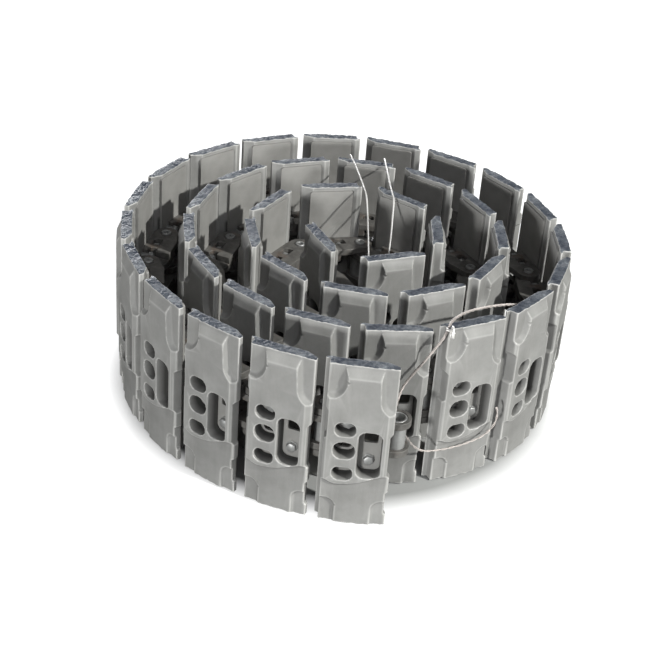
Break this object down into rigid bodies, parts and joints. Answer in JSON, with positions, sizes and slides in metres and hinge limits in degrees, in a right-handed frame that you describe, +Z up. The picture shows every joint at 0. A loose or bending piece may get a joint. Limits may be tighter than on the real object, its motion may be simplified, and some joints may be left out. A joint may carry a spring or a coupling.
{
  "type": "rubber-padded crawler track",
  "caption": "Segmented crawler track: rubber-padded steel links hinged on pins, rolled into a coil and stood on its edge.",
  "frame": {"origin": "middle of the coil's footprint, on the surface it stands on", "axes": "+Z up, along the track's width and all the hinge pins; -Y towards the free outer end of the coil; +X to its right seen from there"},
  "size_m": [0.9502, 1.0369, 0.3678],
  "materials": {
    "rubber": "moulded rubber, matt and dusty, mid grey",
    "cast_steel": "forged steel, dull dark grey with a light bloom of rust",
    "bright_steel": "turned steel, worn bright",
    "wire": "soft annealed steel tie wire, dull"
  },
  "bodies": {
    "link_01": {"rubber_pad_01": "rubber", "steel_core_01": "cast_steel", "rail_upper_01": "cast_steel", "rail_lower_01": "cast_steel", "bushing_01": "bright_steel", "link_pin_01": "bright_steel", "shoe_bolt_01_a": "bright_steel", "shoe_bolt_01_b": "bright_steel", "shoe_bolt_01_c": "bright_steel", "shoe_bolt_01_d": "bright_steel", "shoe_nut_01_a": "bright_steel", "shoe_nut_01_b": "bright_steel", "shoe_nut_01_c": "bright_steel", "shoe_nut_01_d": "bright_steel"},
    "link_02": {"track_link_02": "rubber"},
    "link_03": {"track_link_03": "rubber"},
    "link_04": {"track_link_04": "rubber"},
    "link_05": {"track_link_05": "rubber"},
    "link_06": {"track_link_06": "rubber"},
    "link_07": {"track_link_07": "rubber"},
    "link_08": {"track_link_08": "rubber"},
    "link_09": {"track_link_09": "rubber"},
    "link_10": {"track_link_10": "rubber"},
    "link_11": {"track_link_11": "rubber"},
    "link_12": {"track_link_12": "rubber"},
    "link_13": {"track_link_13": "rubber"},
    "link_14": {"track_link_14": "rubber"},
    "link_15": {"track_link_15": "rubber"},
    "link_16": {"track_link_16": "rubber"},
    "link_17": {"track_link_17": "rubber"},
    "link_18": {"track_link_18": "rubber"},
    "link_19": {"track_link_19": "rubber", "tie_wire_upper": "wire", "tie_wire_lower": "wire", "tie_wire_knot": "wire"},
    "link_20": {"track_link_20": "rubber"},
    "link_21": {"track_link_21": "rubber"},
    "link_22": {"track_link_22": "rubber"},
    "link_23": {"track_link_23": "rubber"},
    "link_24": {"track_link_24": "rubber"},
    "link_25": {"track_link_25": "rubber"},
    "link_26": {"track_link_26": "rubber"},
    "link_27": {"track_link_27": "rubber"},
    "link_28": {"track_link_28": "rubber"},
    "link_29": {"track_link_29": "rubber"},
    "link_30": {"track_link_30": "rubber"},
    "link_31": {"track_link_31": "rubber"},
    "link_32": {"track_link_32": "rubber"},
    "link_33": {"track_link_33": "rubber"},
    "link_34": {"track_link_34": "rubber"},
    "link_35": {"track_link_35": "rubber"},
    "link_36": {"track_link_36": "rubber"},
    "link_37": {"track_link_37": "rubber"},
    "link_38": {"track_link_38": "rubber"},
    "link_39": {"track_link_39": "rubber", "tie_wire_inner_left": "wire", "tie_wire_inner_right": "wire"},
    "link_40": {"track_link_40": "rubber"},
    "link_41": {"track_link_41": "rubber"},
    "link_42": {"track_link_42": "rubber"}
  },
  "joints": [
    {"name": "pin_joint_01", "type": "hinge", "parent": "link_02", "child": "link_01", "pos_m": [-0.02406, -0.4485, 0.175], "axis": [0, 0, -1], "range_deg": [0, 16.2]},
    {"name": "pin_joint_02", "type": "hinge", "parent": "link_03", "child": "link_02", "pos_m": [-0.15072, -0.40179, 0.175], "axis": [0, 0, -1], "range_deg": [0, 15.7]},
    {"name": "pin_joint_03", "type": "hinge", "parent": "link_04", "child": "link_03", "pos_m": [-0.25988, -0.32236, 0.175], "axis": [0, 0, -1], "range_deg": [0, 15.4]},
    {"name": "pin_joint_04", "type": "hinge", "parent": "link_05", "child": "link_04", "pos_m": [-0.34386, -0.21666, 0.175], "axis": [0, 0, -1], "range_deg": [0, 15.5]},
    {"name": "pin_joint_05", "type": "hinge", "parent": "link_06", "child": "link_05", "pos_m": [-0.39645, -0.09232, 0.175], "axis": [0, 0, -1], "range_deg": [0, 15.9]},
    {"name": "pin_joint_06", "type": "hinge", "parent": "link_07", "child": "link_06", "pos_m": [-0.41281, 0.04168, 0.175], "axis": [0, 0, -1], "range_deg": [0, 16.7]},
    {"name": "pin_joint_07", "type": "hinge", "parent": "link_08", "child": "link_07", "pos_m": [-0.38983, 0.17471, 0.175], "axis": [0, 0, -1], "range_deg": [0, 17.8]},
    {"name": "pin_joint_08", "type": "hinge", "parent": "link_09", "child": "link_08", "pos_m": [-0.32725, 0.29433, 0.175], "axis": [0, 0, -1], "range_deg": [0, 18.8]},
    {"name": "pin_joint_09", "type": "hinge", "parent": "link_10", "child": "link_09", "pos_m": [-0.22938, 0.38731, 0.175], "axis": [0, 0, -1], "range_deg": [0, 19.5]},
    {"name": "pin_joint_10", "type": "hinge", "parent": "link_11", "child": "link_10", "pos_m": [-0.10608, 0.44229, 0.175], "axis": [0, 0, -1], "range_deg": [0, 19.5]},
    {"name": "pin_joint_11", "type": "hinge", "parent": "link_12", "child": "link_11", "pos_m": [0.0285, 0.45288, 0.175], "axis": [0, 0, -1], "range_deg": [0, 19]},
    {"name": "pin_joint_12", "type": "hinge", "parent": "link_13", "child": "link_12", "pos_m": [0.15918, 0.41899, 0.175], "axis": [0, 0, -1], "range_deg": [0, 18.3]},
    {"name": "pin_joint_13", "type": "hinge", "parent": "link_14", "child": "link_13", "pos_m": [0.27248, 0.34559, 0.175], "axis": [0, 0, -1], "range_deg": [0, 11]},
    {"name": "pin_joint_14", "type": "hinge", "parent": "link_15", "child": "link_14", "pos_m": [0.3576, 0.24081, 0.175], "axis": [0, 0, -1], "range_deg": [0, 4.5]},
    {"name": "pin_joint_15", "type": "hinge", "parent": "link_16", "child": "link_15", "pos_m": [0.40604, 0.1148, 0.175], "axis": [0, 0, -1], "range_deg": [0, 3]},
    {"name": "pin_joint_16", "type": "hinge", "parent": "link_17", "child": "link_16", "pos_m": [0.41143, -0.02009, 0.175], "axis": [0, 0, -1], "range_deg": [0, 3]},
    {"name": "pin_joint_17", "type": "hinge", "parent": "link_18", "child": "link_17", "pos_m": [0.37037, -0.1487, 0.175], "axis": [0, 0, -1], "range_deg": [0, 2.5]},
    {"name": "pin_joint_18", "type": "hinge", "parent": "link_19", "child": "link_18", "pos_m": [0.285, -0.25328, 0.175], "axis": [0, 0, -1], "range_deg": [0, 2]},
    {"name": "pin_joint_19", "type": "hinge", "parent": "link_20", "child": "link_19", "pos_m": [0.16587, -0.31679, 0.175], "axis": [0, 0, -1], "range_deg": [0, 2]},
    {"name": "pin_joint_20", "type": "hinge", "parent": "link_21", "child": "link_20", "pos_m": [0.0314, -0.32869, 0.175], "axis": [0, 0, -1], "range_deg": [0, 2.5]},
    {"name": "pin_joint_21", "type": "hinge", "parent": "link_22", "child": "link_21", "pos_m": [-0.09744, -0.28835, 0.175], "axis": [0, 0, -1], "range_deg": [0, 3]},
    {"name": "pin_joint_22", "type": "hinge", "parent": "link_23", "child": "link_22", "pos_m": [-0.2023, -0.20333, 0.175], "axis": [0, 0, -1], "range_deg": [0, 3.5]},
    {"name": "pin_joint_23", "type": "hinge", "parent": "link_24", "child": "link_23", "pos_m": [-0.26898, -0.08595, 0.175], "axis": [0, 0, -1], "range_deg": [0, 4]},
    {"name": "pin_joint_24", "type": "hinge", "parent": "link_25", "child": "link_24", "pos_m": [-0.2868, 0.04787, 0.175], "axis": [0, 0, -1], "range_deg": [0, 4]},
    {"name": "pin_joint_25", "type": "hinge", "parent": "link_26", "child": "link_25", "pos_m": [-0.24934, 0.17757, 0.175], "axis": [0, 0, -1], "range_deg": [0, 3.5]},
    {"name": "pin_joint_26", "type": "hinge", "parent": "link_27", "child": "link_26", "pos_m": [-0.15889, 0.27779, 0.175], "axis": [0, 0, -1], "range_deg": [0, 3]},
    {"name": "pin_joint_27", "type": "hinge", "parent": "link_28", "child": "link_27", "pos_m": [-0.03223, 0.32452, 0.175], "axis": [0, 0, -1], "range_deg": [0, 3]},
    {"name": "pin_joint_28", "type": "hinge", "parent": "link_29", "child": "link_28", "pos_m": [0.1016, 0.30681, 0.175], "axis": [0, 0, -1], "range_deg": [0, 4]},
    {"name": "pin_joint_29", "type": "hinge", "parent": "link_30", "child": "link_29", "pos_m": [0.21301, 0.23058, 0.175], "axis": [0, 0, -1], "range_deg": [0, 5]},
    {"name": "pin_joint_30", "type": "hinge", "parent": "link_31", "child": "link_30", "pos_m": [0.27892, 0.11276, 0.175], "axis": [0, 0, -1], "range_deg": [0, 6]},
    {"name": "pin_joint_31", "type": "hinge", "parent": "link_32", "child": "link_31", "pos_m": [0.28268, -0.02219, 0.175], "axis": [0, 0, -1], "range_deg": [0, 5]},
    {"name": "pin_joint_32", "type": "hinge", "parent": "link_33", "child": "link_32", "pos_m": [0.21682, -0.14004, 0.175], "axis": [0, 0, -1], "range_deg": [0, 4.5]},
    {"name": "pin_joint_33", "type": "hinge", "parent": "link_34", "child": "link_33", "pos_m": [0.09592, -0.20011, 0.175], "axis": [0, 0, -1], "range_deg": [0, 4.5]},
    {"name": "pin_joint_34", "type": "hinge", "parent": "link_35", "child": "link_34", "pos_m": [-0.03736, -0.17867, 0.175], "axis": [0, 0, -1], "range_deg": [0, 5.5]},
    {"name": "pin_joint_35", "type": "hinge", "parent": "link_36", "child": "link_35", "pos_m": [-0.1349, -0.08533, 0.175], "axis": [0, 0, -1], "range_deg": [0, 8]},
    {"name": "pin_joint_36", "type": "hinge", "parent": "link_37", "child": "link_36", "pos_m": [-0.16045, 0.04723, 0.175], "axis": [0, 0, -1], "range_deg": [0, 8]},
    {"name": "pin_joint_37", "type": "hinge", "parent": "link_38", "child": "link_37", "pos_m": [-0.09376, 0.16461, 0.175], "axis": [0, 0, -1], "range_deg": [0, 7.5]},
    {"name": "pin_joint_38", "type": "hinge", "parent": "link_39", "child": "link_38", "pos_m": [0.03785, 0.19467, 0.175], "axis": [0, 0, -1], "range_deg": [0, 9]},
    {"name": "pin_joint_39", "type": "hinge", "parent": "link_40", "child": "link_39", "pos_m": [0.14624, 0.1142, 0.175], "axis": [0, 0, -1], "range_deg": [0, 14]},
    {"name": "pin_joint_40", "type": "hinge", "parent": "link_41", "child": "link_40", "pos_m": [0.1479, -0.02079, 0.175], "axis": [0, 0, -1], "range_deg": [0, 18]},
    {"name": "pin_joint_41", "type": "hinge", "parent": "link_42", "child": "link_41", "pos_m": [0.02168, -0.06866, 0.175], "axis": [0, 0, -1], "range_deg": [0, 14.5]}
  ]
}
